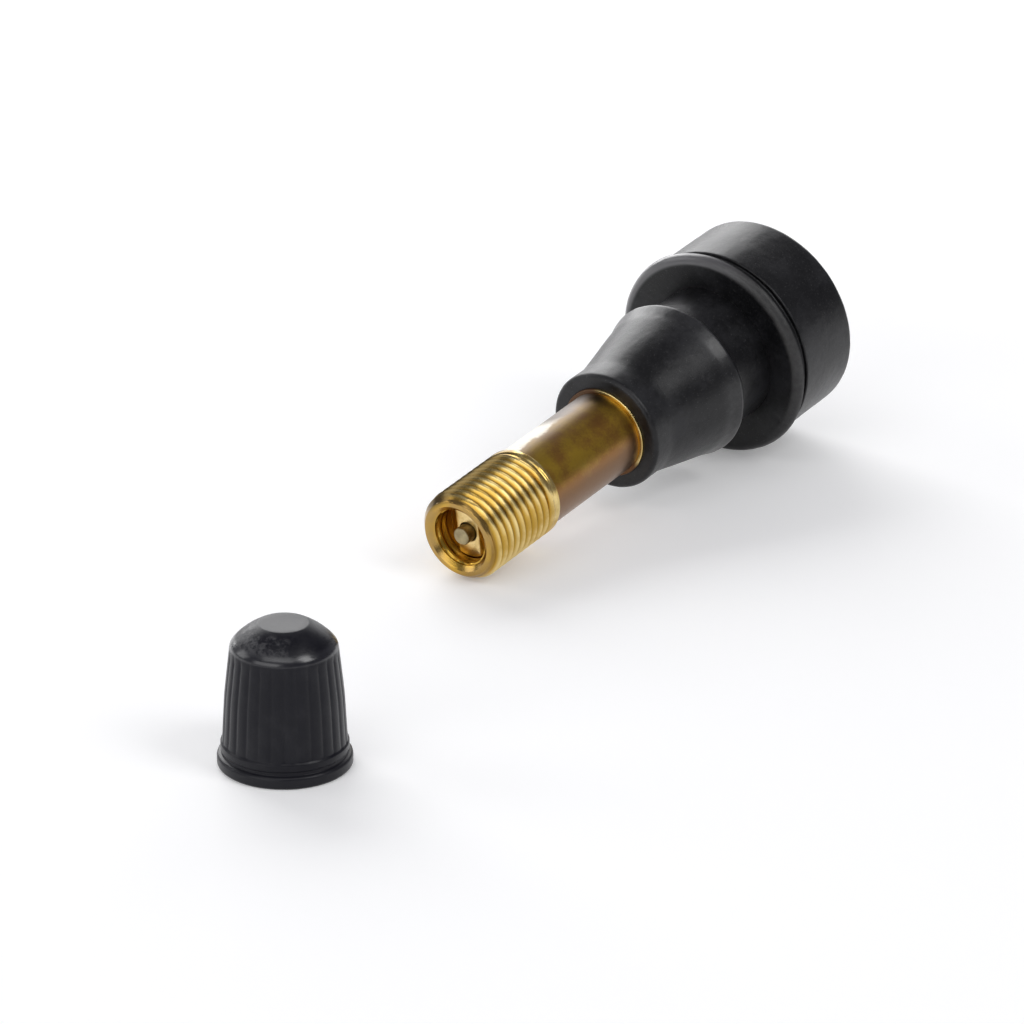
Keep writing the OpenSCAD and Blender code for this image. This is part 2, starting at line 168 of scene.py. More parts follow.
class Skin:
    """A mesh around the Z axis, in millimetres, that grows from ring to ring."""

    def __init__(self, columns):
        self.columns = columns
        self.bm = bmesh.new()
        self.rings = []

    def point(self, radius, column, height):
        """One vertex of a column. The radius is a number or a function of the angle."""
        angle = 2 * math.pi * column / self.columns
        r = radius(angle) if callable(radius) else radius
        return self.bm.verts.new((r * math.cos(angle), r * math.sin(angle), height))

    def face(self, corners):
        """A face between the corners that differ, or none if fewer than three do."""
        corners = list(dict.fromkeys(corners))
        if len(corners) > 2:
            self.bm.faces.new(corners)

    def join(self, low, high):
        """Faces between two rings, either of which may be a single point."""
        for i in range(self.columns):
            near, far = i % len(low), (i + 1) % len(low)
            self.face([low[near], low[far], high[(i + 1) % len(high)], high[i % len(high)]])

    def ring(self, radius, height, joined=True):
        """A new ring, joined to the last one."""
        count = 1 if radius == 0 else self.columns
        made = [self.point(radius, column, height) for column in range(count)]
        if joined and self.rings:
            self.join(self.rings[-1], made)
        self.rings.append(made)
        return made

    def outline(self, points):
        """One ring for each point of an outline."""
        for radius, height in points:
            self.ring(radius, height)

    def close(self):
        """Joins the last ring to the first one."""
        self.join(self.rings[-1], self.rings[0])

    def thread(self, radius, height, pitch, radius_at, steps=12):
        """Goes on to a ring at another height by way of a right-hand thread, with so many rows a pitch."""
        start = self.rings[-1]
        end = self.ring(radius, height, joined=False)
        low_ring, high_ring = sorted((start, end), key=lambda ring: ring[0].co.z)
        low, high = low_ring[0].co.z, high_ring[0].co.z
        margin = pitch / self.columns / 2
        made = {}

        def at(column, row):
            if column == self.columns:
                column, row = 0, row + steps
            level = low + pitch * (row / steps + column / self.columns - 1)
            if level <= low + margin:
                return low_ring[column]
            if level >= high - margin:
                return high_ring[column]
            if (column, row) not in made:
                here = radius_at(level, ridge(row / steps % 1))
                made[column, row] = self.point(here, column, level)
            return made[column, row]

        for column in range(self.columns):
            for row in range(math.ceil(steps * ((high - low) / pitch + 1))):
                low_edge = [at(column, row), at(column + 1, row)]
                high_edge = [at(column + 1, row + 1), at(column, row + 1)]
                self.face(low_edge + high_edge)


print("a ridge over one pitch:", [round(ridge(i / 6), 2) for i in range(7)])

# %% [markdown]
# ## From skin to piece
# One function turns a skin into a piece: it puts the mesh into metres in its frame, shades it smooth with
# sharp edges kept, gives it its material, sets it on its body and hides the solid that it stands for.

# %% Finish a piece
SHARP = math.radians(40)


def piece(name, bm, place, material, body, solid):
    """Turns a bmesh in millimetres into an object that stands for a solid and rides on a body."""
    bmesh.ops.recalc_face_normals(bm, faces=bm.faces)
    bmesh.ops.transform(bm, matrix=place @ Matrix.Scale(MM, 4), verts=bm.verts)
    mesh = bpy.data.meshes.new(name)
    bm.to_mesh(mesh)
    bm.free()
    mesh.shade_smooth()
    mesh.set_sharp_from_angle(angle=SHARP)
    mesh.materials.append(material)
    made = bpy.data.objects.new(name, mesh)
    bpy.context.scene.collection.objects.link(made)
    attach(made, body)
    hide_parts(solid)
    print(name, "has", len(mesh.polygons), "faces")
    return made


print("edges stay sharp from", round(math.degrees(SHARP)), "degrees")

# %% [markdown]
# ## Shader maths as sums
# A material is a graph of nodes, and wiring it by hand hides the idea. Here a socket is wrapped in a small
# class with the usual operators, so that `1 - mask` adds a Math node by itself. Every other node comes from
# one method, which sets the node's own settings first and then its sockets.

# %% Wrap sockets and nodes
class Wire:
    """One output socket, which takes part in ordinary sums."""

    def __init__(self, finish, socket):
        self.finish = finish
        self.socket = socket

    def sum(self, operation, first, second):
        return self.finish.node("Math", {"operation": operation}, {0: first, 1: second})

    def __add__(self, other):
        return self.sum("ADD", self, other)

    def __sub__(self, other):
        return self.sum("SUBTRACT", self, other)

    def __rsub__(self, other):
        return self.sum("SUBTRACT", other, self)

    def __mul__(self, other):
        return self.sum("MULTIPLY", self, other)

    __radd__ = __add__
    __rmul__ = __mul__


class Finish:
    """The node tree of a material or a world."""

    def __init__(self, owner):
        owner.use_nodes = True
        self.owner = owner
        self.tree = owner.node_tree
        self.shader = self.tree.nodes.get("Principled BSDF")

    def node(self, kind, settings, sockets, output=0):
        """A new node of a type, with its settings and then its sockets filled in."""
        made = self.tree.nodes.new("ShaderNode" + kind)
        for name, value in settings.items():
            setattr(made, name, value)
        self.feed(made, sockets)
        return Wire(self, made.outputs[output])

    def feed(self, made, sockets):
        """Links wires to a node's sockets and sets plain values on them."""
        for name, value in sockets.items():
            if isinstance(value, Wire):
                self.tree.links.new(value.socket, made.inputs[name])
            else:
                made.inputs[name].default_value = value

    def millimetres(self, place):
        """Where a point lies in one of the two frames, in millimetres."""
        spot = self.node("TexCoord", {}, {}, "Object")
        frame_of = {"Location": place.to_translation(), "Rotation": place.to_euler(), "Scale": (MM, MM, MM)}
        return self.node("Mapping", {"vector_type": "TEXTURE"}, {"Vector": spot, **frame_of})

    def part(self, vector, axis):
        return self.node("SeparateXYZ", {}, {0: vector}, axis)

    def stretched(self, vector, scale):
        return self.node("VectorMath", {"operation": "MULTIPLY"}, {0: vector, 1: scale})

    def from_axis(self, vector):
        """How far a point lies from the axis."""
        flat = self.stretched(vector, (1, 1, 0))
        return self.node("VectorMath", {"operation": "LENGTH"}, {0: flat}, "Value")

    def facing(self, vector, angle):
        """How far a point lies from the axis in the direction of an angle around it."""
        way = (math.cos(angle), math.sin(angle), 0)
        return self.node("VectorMath", {"operation": "DOT_PRODUCT"}, {0: vector, 1: way}, "Value")

    def cloud(self, vector, per_mm, detail=3, roughness=0.55):
        """A noise between 0 and 1, with so many waves in a millimetre."""
        sockets = {"Vector": vector, "Scale": per_mm, "Detail": detail, "Roughness": roughness}
        return self.node("TexNoise", {}, sockets)

    def band(self, value, low, high):
        """A mask that climbs softly from 0 to 1 while a value goes from low to high."""
        sockets = {"Value": value, "From Min": low, "From Max": high}
        return self.node("MapRange", {"interpolation_type": "SMOOTHSTEP"}, sockets)

    def mix(self, share, first, second):
        """A mix of two colours, which are inputs 6 and 7 and output 2 of this node."""
        return self.node("Mix", {"data_type": "RGBA"}, {0: share, 6: first, 7: second}, 2)

    def bump(self, height, depth_mm):
        return self.node("Bump", {}, {"Height": height, "Distance": depth_mm * MM})


def new_finish(name):
    return Finish(bpy.data.materials.new(name))


print("operators:", [name for name in ("__add__", "__sub__", "__mul__") if hasattr(Wire, name)])

# %% [markdown]
# ## The stem's sizes
# The stem is one turned brass tube. Outside, from the tip: a chamfer, the cap thread, a narrow land, the
# plain shank, and the collar and foot that the rubber is moulded on. Inside: a countersunk mouth, the fine
# thread that holds the core, a sealing cone and the long air passage. The sizes could be measured on the
# solid, but written down once they serve the mesh and the finish alike. Heights are counted from the rim
# seat, and what is inside has a depth below the mouth.

# %% Sizes of the stem, outside
REACH = 35.4
TIP_CHAMFER = 0.7
TIP_FACE_R = 3.25
TIP_EDGE = 0.06
THREAD_R = 3.85
THREAD_END = 26.7
THREAD_PITCH = 0.794
THREAD_CUT = 0.45
THREAD_ROOT_R = THREAD_R - THREAD_CUT
THREAD_LAND = 0.35
SHANK_R = 3.6
COLLAR_R = 3.925
COLLAR_FACE = 15.3
TURNED_EDGE = 0.08
FOOT_R = 5.8
FOOT_FRONT = -2.6
FOOT_BACK = -4.2
FOOT_EDGE = 0.1
print("stem:", REACH, "mm from the rim seat to the tip, thread", 2 * THREAD_R, "mm across")

# %% Sizes of the stem, inside
MOUTH_R = 2.9
MOUTH_DEPTH = 0.35
MOUTH_EDGE = 0.04
CORE_BORE_R = 2.5
CORE_THREAD_TOP = 0.5
CORE_THREAD_END = 3.0
CORE_PITCH = 0.705
CORE_CUT = 0.16
CORE_BORE_END = 7.7
CONE_R = 2.3
CONE_TOP = 7.75
CONE_END = 10.35
PASSAGE_R = 2.0
PASSAGE_END = 30
AIR_HOLE_R = 1.4
AIR_HOLE_TOP = 30.36
print("stem: bore", 2 * CORE_BORE_R, "mm, passage", 2 * PASSAGE_R, "mm, air hole", 2 * AIR_HOLE_R, "mm")

# %% [markdown]
# ## The brass stem's finish
# The thread is bright brass, because a cap has kept it covered. Its crests are painted paler and its flanks
# a deeper gold, a painted highlight over a painted reflection between the flanks, and its roots are painted
# darker, painted shade with some grime. Along its upper side it is painted dark olive, a painted shade. The
# plain shank has tarnished to olive and brown in soft patches. Towards its upper side it is painted darker,
# a painted shade, then pale near the thread, a painted highlight, and dull near the rubber, a painted shade.
# Its lower side is painted browner as painted shade, and dusty grey as a painted reflection. The collar is
# painted brown, a painted dark reflection, and left bright on one side, a painted highlight. Two materials
# could be joined at the thread's end, but one material with masks gives softer borders. A mask asks where a
# point is: how far along the axis, how far out from it, and how far up on the side.

# %% Colours of the stem's brass
# Paler gold on the crests is a painted highlight, and deeper gold on the flanks a painted reflection.
CREST_HIGHLIGHT_GOLD = (0.84, 0.66, 0.29, 1)
FLANK_REFLECTION_GOLD = (0.58, 0.35, 0.055, 1)
# Darker brass for the thread's roots: painted shade with some grime.
ROOT_SHADE_GRIME = (0.24, 0.13, 0.03, 1)
# Dark olive for the thread's upper side: a painted shade.
UPPER_SHADE_OLIVE = (0.11, 0.073, 0.026, 1)
OLIVE_TARNISH = (0.54, 0.335, 0.036, 1)
BROWN_TARNISH = (0.30, 0.135, 0.024, 1)
# Dark brown for the shank's upper side: a painted shade.
UPPER_SHADE_BROWN = (0.050, 0.030, 0.012, 1)
# Brown for the collar: a painted dark reflection.
COLLAR_DARK_REFLECTION = (0.12, 0.055, 0.02, 1)
# Pale for the shank's upper side near the thread: a painted highlight.
PALE_HIGHLIGHT = (0.88, 0.83, 0.74, 1)
# Dull dark grey for the shank's upper side near the rubber: a painted shade.
DULL_SHADE = (0.18, 0.15, 0.13, 1)
# Dusty grey for the shank's lower side: a painted reflection.
LOWER_REFLECTION_GREY = (0.24, 0.185, 0.16, 1)
TIP_TARNISH = (0.42, 0.27, 0.09, 1)
print("brass, from bright to dark:", CREST_HIGHLIGHT_GOLD[:3], FLANK_REFLECTION_GOLD[:3], UPPER_SHADE_BROWN[:3])

# %% Masks of the stem's brass
UPPER_SIDE = math.radians(125)
# The collar's painted highlight and the bead's worn grey lie on this side.
SHEEN_AND_WEAR_SIDE = math.radians(30)
# Along the axis, the painted shade near the rubber gives way to the painted highlight near the thread.
DULL_SHADE_END = 19.5
PALE_HIGHLIGHT_START = 22.0

brass = new_finish("stem_brass")
at = brass.millimetres(LYING)
along = brass.part(at, "Z")
out = brass.from_axis(at)
upper = brass.facing(at, UPPER_SIDE)
patches = brass.cloud(at, 0.42, 4)
specks = brass.cloud(at, 5, 2)
lathe_marks = brass.cloud(brass.stretched(at, (0.3, 0.3, 9)), 1, 2)
on_thread = brass.band(along, THREAD_END - 0.35, THREAD_END - 0.05)
on_collar = 1 - brass.band(along, COLLAR_FACE + 0.02, COLLAR_FACE + 0.12)
# One side of the collar stays bright brass, a painted highlight.
collar_highlight = on_collar * brass.band(brass.facing(at, SHEEN_AND_WEAR_SIDE), 1.0, 2.6)
bright = brass.band(on_thread + collar_highlight, 0, 1)
crest = brass.band(out, THREAD_R - 0.30, THREAD_R - 0.03)
below_flank = 1 - brass.band(out, THREAD_ROOT_R + 0.03, THREAD_ROOT_R + 0.22)
in_root = on_thread * below_flank * brass.band(out, THREAD_ROOT_R - 0.10, THREAD_ROOT_R - 0.04)
on_face = brass.band(along, REACH - 0.5, REACH - 0.1)
near_lip = 1 - brass.band(along, DULL_SHADE_END, PALE_HIGHLIGHT_START)
# Dull and darker on the upper side near the rubber: a painted shade.
dull_shade = (1 - bright) * near_lip * brass.band(upper + 0.8 * patches, 3.4, 3.9)
# Pale on the upper side near the thread: a painted highlight.
pale_highlight = (1 - bright) * (1 - near_lip) * brass.band(upper + 1.2 * patches, 3.6, 4.0)
# The lower side, which gets painted shade and painted reflection.
lower = 1 - brass.band(upper + 2 * patches, -1.7, 0.6)
print("masks of the brass:", len(brass.tree.nodes), "nodes so far")

# %% Mix the colours of the stem's brass
# Painted highlight on the crests, over a painted reflection on the flanks.
gold = brass.mix(crest * (1.2 - brass.band(patches, 0.4, 0.7)), FLANK_REFLECTION_GOLD, CREST_HIGHLIGHT_GOLD)
# The roots are painted darker: painted shade with some grime.
gold = brass.mix(in_root * 0.75, gold, ROOT_SHADE_GRIME)
gold = brass.mix(on_face * brass.band(patches, 0.2, 0.6), gold, TIP_TARNISH)
# The thread's upper side is painted dark olive, a painted shade.
gold = brass.mix(on_thread * brass.band(upper, 2.85, 3.45) * 0.9, gold, UPPER_SHADE_OLIVE)
# Brown in patches of tarnish, and browner on the lower side as painted shade.
browning_and_lower_shade = brass.band(patches + specks * 0.2 + lower * 0.35, 0.42, 0.78)
shank_colour = brass.mix(browning_and_lower_shade, OLIVE_TARNISH, BROWN_TARNISH)
# The shank darkens towards its upper side: a painted shade.
shank_colour = brass.mix(brass.band(upper, 1.8, 2.9) * 0.9, shank_colour, UPPER_SHADE_BROWN)
shank_colour = brass.mix(pale_highlight, shank_colour, PALE_HIGHLIGHT)
shank_colour = brass.mix(dull_shade, shank_colour, DULL_SHADE)
# The lower side is painted dusty grey, a painted reflection.
shank_colour = brass.mix(0.45 * lower, shank_colour, LOWER_REFLECTION_GREY)
# The rest of the collar is painted brown, a painted dark reflection.
shank_colour = brass.mix(on_collar, shank_colour, COLLAR_DARK_REFLECTION)
dulled = (1 - bright) * (0.06 + 0.12 * patches) + 0.25 * dull_shade + 0.3 * pale_highlight
brass.feed(brass.shader, {
    "Base Color": brass.mix(bright, shank_colour, gold),
    "Metallic": 1 - 0.4 * dull_shade - 0.9 * pale_highlight,
    "Roughness": 0.18 + 0.08 * specks + dulled,
    "Coat Weight": (1 - bright) * 0.5 * patches,
    "Coat Roughness": 0.35,
    "Normal": brass.bump(lathe_marks + 0.4 * specks, 0.008),
})
print("stem finish:", len(brass.tree.nodes), "nodes")

# %% [markdown]
# ## Turning the stem
# The real stem is turned and its threads are cut, and here the outline is walked in the same way, first
# along the outside and then back through the bore. A thread could be painted on as bump, but it is cut in
# the mesh, because its crests make the outline of the tip.

# %% Shape the stem's threads
def below_mouth(depth):
    """Height of a point that lies so deep below the mouth."""
    return REACH - depth


def stem_thread(level, height):
    """Radius of the cap thread: it fades in behind its land and is cut off by the tip's chamfer."""
    fade = min(1, (level - THREAD_END - THREAD_LAND) / THREAD_PITCH)
    chamfer = TIP_FACE_R + (THREAD_R - TIP_FACE_R) * (REACH - level) / TIP_CHAMFER
    return min(chamfer, THREAD_R - THREAD_CUT * fade * (1 - height))


def core_thread(level, height):
    """Radius of the thread that holds the core, at any level."""
    return CORE_BORE_R - CORE_CUT * height


print("turns of the cap thread:", round((REACH - THREAD_END - THREAD_LAND) / THREAD_PITCH, 1))

# %% Turn the stem
STEM_COLUMNS = 192
STEM_STEP = 1.2
stem = Skin(STEM_COLUMNS)
stem.outline(with_steps(rounded([
    (AIR_HOLE_R, FOOT_BACK, 0), (FOOT_R, FOOT_BACK, FOOT_EDGE), (FOOT_R, FOOT_FRONT, FOOT_EDGE),
    (COLLAR_R, FOOT_FRONT, 0), (COLLAR_R, COLLAR_FACE, TURNED_EDGE), (SHANK_R, COLLAR_FACE, 0),
    (SHANK_R, THREAD_END - THREAD_R + SHANK_R, 0), (THREAD_R, THREAD_END, TURNED_EDGE),
    (THREAD_R, THREAD_END + THREAD_LAND, 0),
]), STEM_STEP))
stem.thread(TIP_FACE_R + TIP_EDGE, REACH - TIP_EDGE, THREAD_PITCH, stem_thread)
stem.outline([(TIP_FACE_R, REACH - TIP_EDGE / 4), (TIP_FACE_R - TIP_EDGE, REACH)])
stem.outline(rounded([
    (TIP_FACE_R - 2 * TIP_EDGE, REACH, 0), (MOUTH_R, REACH, TIP_EDGE),
    (CORE_BORE_R, below_mouth(MOUTH_DEPTH), MOUTH_EDGE), (CORE_BORE_R, below_mouth(CORE_THREAD_TOP), 0),
]))
stem.thread(CORE_BORE_R, below_mouth(CORE_THREAD_END), CORE_PITCH, core_thread)
stem.outline([
    (CORE_BORE_R, below_mouth(CORE_BORE_END)), (CONE_R, below_mouth(CONE_TOP)),
    (PASSAGE_R, below_mouth(CONE_END)), (PASSAGE_R, below_mouth(PASSAGE_END)),
    (AIR_HOLE_R, below_mouth(AIR_HOLE_TOP)),
])
stem.close()
piece("threaded_stem", stem.bm, LYING, brass.owner, "valve", "stem")

# %% [markdown]
# ## The rubber body's sizes
# The rubber is moulded around the stem's foot and collar: a base, a bead that seals on the rim, the groove
# that the rim sits in, a bulb edge that snaps through the hole, and a nose that sweeps up to the stem. One
# outline could hold all of it as plain numbers, but with named sizes a change stays in one place, and the
# finish can find the bead and the bulb by them.

# %% Sizes of the base and the bead
BASE_R = 8.7
BASE_BACK = -8.8
BASE_EDGE = 0.5
DISH_R = 5.75
DISH_DEPTH = 0.9
DISH_EDGE = 0.3
AIR_HOLE_EDGE = 0.1
STEP_GROOVE_R = BASE_R - 0.35
STEP_GROOVE_WIDTH = 1.1
STEP_EDGE = 0.14
BEAD_R = 9.1
BEAD_WIDTH = 0.85
BEAD_EDGE = 0.72
BEAD_BACK_EDGE = 0.05
BEAD_DISH = 0.5
print("base:", 2 * BASE_R, "mm across, bead:", 2 * BEAD_R, "mm across")

# %% Sizes of the neck, the bulb and the nose
NECK_R = 5.95
GROOVE_WIDTH = 4.5
GROOVE_CORNER = 0.2
BULB_R = 7.05
BULB_EDGE = 0.45
WAIST_R = 6.55
WAIST_HEIGHT = 6.0
WAIST_SWEEP = 3
NOSE_R = 5.15
NOSE_FRONT = 15.1
NOSE_LIP = 2.6
NOSE_SWEEP = 4
NOSE_EDGE = 0.4
LIP_FLARE = 0.06
LIP_INNER_EDGE = 0.05
LIP_INNER_DEPTH = 1
print("bulb:", 2 * BULB_R, "mm across, nose:", 2 * NOSE_R, "mm across")

# %% [markdown]
# ## The rubber's finish
# Moulded rubber is nearly black, with a satin skin: soft wide highlights, a faint cloudy bloom where oils
# have come to the surface, and a fine grain left by the mould. The bloom could change the colour alone, but
# it goes into colour and roughness together, so that dull places are also a little lighter, as they are on
# the real thing. The bead's edge is rubbed dull and grey on one side, and along its top it has a soft gloss
# and is painted paler, a painted highlight. The bulb's edge has some gloss too.

# %% Colours and masks of the black rubber
RUBBER_BLACK = (0.0040, 0.0040, 0.0048, 1)
RUBBER_BLOOM = (0.017, 0.017, 0.019, 1)
WORN_GREY = (0.046, 0.045, 0.045, 1)
# Pale grey for the bead's top: a painted highlight.
BEAD_HIGHLIGHT_GREY = (0.095, 0.093, 0.098, 1)
DUST = (0.10, 0.10, 0.10, 1)

rubber = new_finish("black_rubber")
at = rubber.millimetres(LYING)
along = rubber.part(at, "Z")
out = rubber.from_axis(at)
bloom = rubber.cloud(at, 0.22, 5, 0.6)
mottle = rubber.cloud(at, 2.2, 3)
grain = rubber.cloud(at, 14, 2)
dust = rubber.band(rubber.cloud(at, 9, 0), 0.74, 0.80)
on_bead = rubber.band(out, BEAD_R - 0.95, BEAD_R - 0.6) * rubber.band(along, -BEAD_WIDTH, 0.15 - BEAD_WIDTH)
bead_top_sheen = on_bead * rubber.band(rubber.facing(at, UPPER_SIDE), 2, 8)
worn = on_bead * rubber.band(rubber.facing(at, SHEEN_AND_WEAR_SIDE), 1, 7) * (0.3 + 0.9 * mottle)
past_groove = rubber.band(along, GROOVE_WIDTH - 0.2, GROOVE_WIDTH + 0.1)
past_bulb = rubber.band(along, GROOVE_WIDTH + 1.3, GROOVE_WIDTH + 3.1)
on_bulb = rubber.band(out, BULB_R - 0.75, BULB_R - 0.45) * past_groove * (1 - past_bulb)
print("masks of the rubber:", len(rubber.tree.nodes), "nodes so far")

# %% Mix the black rubber
skin_colour = rubber.mix(rubber.band(bloom + 0.3 * mottle, 0.55, 0.85), RUBBER_BLACK, RUBBER_BLOOM)
skin_colour = rubber.mix(worn, skin_colour, WORN_GREY)
# Paler along the bead's top: a painted highlight.
skin_colour = rubber.mix(0.8 * bead_top_sheen * bead_top_sheen, skin_colour, BEAD_HIGHLIGHT_GREY)
rubber.feed(rubber.shader, {
    "Base Color": rubber.mix(dust * 0.4, skin_colour, DUST),
    "Specular IOR Level": 0.36,
    "Roughness": 0.20 + 0.2 * bloom + 0.08 * mottle + 0.2 * dust + 0.12 * worn,
    "Coat Weight": bead_top_sheen + on_bulb * (0.15 + 0.5 * mottle),
    "Coat Roughness": 0.3,
    "Normal": rubber.bump(grain + 1.2 * mottle, 0.012),
})
print("rubber finish:", len(rubber.tree.nodes), "nodes")

# %% [markdown]
# ## The rubber body
# The outline runs from the room for the stem's foot, over the base and the bead, to the nose. A lathe alone
# gives a shape that is too true for rubber, so a slow noise moves the skin by a few hundredths of a
# millimetre, and two small nicks break the bead's moulded edge where flash was torn off. A displace modifier
# could do the first, but moving the points before the piece is made leaves nothing to apply.

# %% Turn the rubber body
RUBBER_COLUMNS = 256
RUBBER_STEP = 0.28
step_back = -BEAD_WIDTH - STEP_GROOVE_WIDTH
room_for_foot = [
    (COLLAR_R, FOOT_FRONT, 0), (FOOT_R, FOOT_FRONT, 0), (FOOT_R, FOOT_BACK, 0), (AIR_HOLE_R, FOOT_BACK, 0),
    (AIR_HOLE_R, BASE_BACK + DISH_DEPTH, AIR_HOLE_EDGE), (DISH_R, BASE_BACK, DISH_EDGE),
]
base_and_bead = [
    (BASE_R, BASE_BACK, BASE_EDGE), (BASE_R, step_back, STEP_EDGE), (STEP_GROOVE_R, step_back, STEP_EDGE),
    (STEP_GROOVE_R, -BEAD_WIDTH, STEP_EDGE), (BEAD_R, -BEAD_WIDTH, BEAD_BACK_EDGE), (BEAD_R, 0, BEAD_EDGE),
]
neck_to_nose = [
    (NECK_R, -BEAD_DISH, 0), (NECK_R, GROOVE_WIDTH, GROOVE_CORNER), (BULB_R, GROOVE_WIDTH, BULB_EDGE),
    (WAIST_R, WAIST_HEIGHT, WAIST_SWEEP), (NOSE_R, NOSE_FRONT - NOSE_LIP, NOSE_SWEEP),
    (NOSE_R + LIP_FLARE, NOSE_FRONT, NOSE_EDGE), (COLLAR_R, NOSE_FRONT, LIP_INNER_EDGE),
    (COLLAR_R, NOSE_FRONT - LIP_INNER_DEPTH, 0),
]
body = Skin(RUBBER_COLUMNS)
body.outline(with_steps(rounded(room_for_foot + base_and_bead + neck_to_nose), RUBBER_STEP))
body.close()
print("rubber:", len(body.bm.verts), "points")

# %% Make the rubber's skin uneven and nick the bead
SKIN_WANDER = 0.03
SLOW_WAVES = 0.35
QUICK_WAVES = 1.4
QUICK_SHARE = 0.4
FITTED_R = COLLAR_R + 0.1
NICKS = [(8.2, math.radians(36)), (8.0, math.radians(326))]
NICK_DEPTH = 0.16
NICK_SIZE = 0.22
for vert in body.bm.verts:
    radius = math.hypot(vert.co.x, vert.co.y)
    if radius > FITTED_R:
        wander = noise.noise(vert.co * SLOW_WAVES) + QUICK_SHARE * noise.noise(vert.co * QUICK_WAVES)
        grown = 1 + SKIN_WANDER * wander / radius
        vert.co.x *= grown
        vert.co.y *= grown
    for nick_radius, nick_angle in NICKS:
        nick = Vector((nick_radius * math.cos(nick_angle), nick_radius * math.sin(nick_angle), 0))
        vert.co.z -= NICK_DEPTH * math.exp(-((vert.co - nick).length / NICK_SIZE) ** 2)
piece("moulded_rubber", body.bm, LYING, rubber.owner, "valve", "rubber_body")

# %% [markdown]
# ## The core's finishes
# Deep in the mouth sits the core that does the work: a brass plug with a bridge across it, a pin through
# the bridge, and a spring that pulls the seal shut. Each could have a material of its own kind, but in such
# small pieces only colour, shine and a fine unevenness can be seen, so one function makes all four. The
# pieces further in are right as solids and only need finishes.

# %% Make the finishes of the core
def mottled(name, light, dark, metallic, roughness, per_mm, depth_mm):
    """A finish that wanders between two colours, with a fine unevenness."""
    finish = new_finish(name)
    at = finish.millimetres(LYING)
    slow = finish.cloud(at, per_mm, 3)
    fine = finish.cloud(at, per_mm * 8, 2)
    finish.feed(finish.shader, {
        "Base Color": finish.mix(finish.band(slow, 0.3, 0.7), light, dark),
        "Metallic": metallic,
        "Roughness": roughness + 0.15 * fine,
        "Normal": finish.bump(fine, depth_mm),
    })
    return finish


core_brass = mottled(
    "core_brass", light=(0.84, 0.64, 0.30, 1), dark=(0.56, 0.38, 0.13, 1),
    metallic=1.0, roughness=0.22, per_mm=0.9, depth_mm=0.004)
pin_metal = mottled(
    "pin_metal", light=(0.42, 0.35, 0.20, 1), dark=(0.26, 0.21, 0.12, 1),
    metallic=1.0, roughness=0.32, per_mm=1.4, depth_mm=0.004)
spring_steel = mottled(
    "spring_steel", light=(0.60, 0.60, 0.61, 1), dark=(0.42, 0.41, 0.40, 1),
    metallic=1.0, roughness=0.25, per_mm=3, depth_mm=0.002)
seal_rubber = mottled(
    "seal_rubber", light=(0.030, 0.028, 0.028, 1), dark=(0.014, 0.013, 0.013, 1),
    metallic=0.0, roughness=0.5, per_mm=1.5, depth_mm=0.006)
CORE_FINISHES = {
    "core_barrel": core_brass,
    "seal_cup": core_brass,
    "barrel_gasket": seal_rubber,
    "cup_seal": seal_rubber,
}
for node_name, finish in CORE_FINISHES.items():
    mesh = frame["nodes"][node_name].data
    mesh.materials.clear()
    mesh.materials.append(finish.owner)
print("core pieces with finishes:", len(CORE_FINISHES))

# %% [markdown]
# ## The plug and its bridge
# The plug screws into the stem, and its bridge guides the pin. A bar with round ends could be a box cut by a
# cylinder, but it is also a circle cut by two lines, so its edge is one radius for each angle, and the
# bridge can be made ring by ring too. All heights in the core are depths below the mouth.

# %% Sizes of the plug
BRIDGE_TOP = 1.4
BRIDGE_FOOT = 3.1
BRIDGE_WIDTH = 2.2
BRIDGE_TURN = math.radians(92)
BRIDGE_BEVEL = 0.12
BEVEL_SHARES = (1, 0.5, 0.15, 0)
PIN_HOLE_R = 0.83
PIN_HOLE_BEVEL = 0.05
PLUG_END = 6.3
PLUG_R = 2.47
PLUG_CUT = 0.14
PLUG_BORE_R = 1.55
SKIRT_END = 7.7
SKIRT_R = 2.27
SKIRT_EDGE = 0.1
SKIRT_ROOM_R = 1.92
SKIRT_LIP_R = 1.45
SKIRT_LIP = 0.45
SKIRT_LIP_EDGE = 0.05
SMALLEST_SINE = 0.01
print("plug:", 2 * PLUG_R, "mm across, with a bridge", BRIDGE_WIDTH, "mm wide")


# %% Shape the plug's thread and bridge
def under_mouth(corners):
    """Corners of an outline whose second value is a depth below the mouth."""
    return [(radius, below_mouth(depth), rounding) for radius, depth, rounding in corners]


def bridge_edge(inset):
    """Radius of the bridge's edge as a function of the angle, drawn in by an inset."""
    def at_angle(angle):
        across = max(abs(math.sin(angle - BRIDGE_TURN)), SMALLEST_SINE)
        return min(SKIRT_R - inset, (BRIDGE_WIDTH / 2 - inset) / across)

    return at_angle


def plug_thread(level, height):
    """Radius of the plug's thread, at any level."""
    return PLUG_R - PLUG_CUT * (1 - height)


print("bridge:", 2 * bridge_edge(0)(BRIDGE_TURN), "mm long")

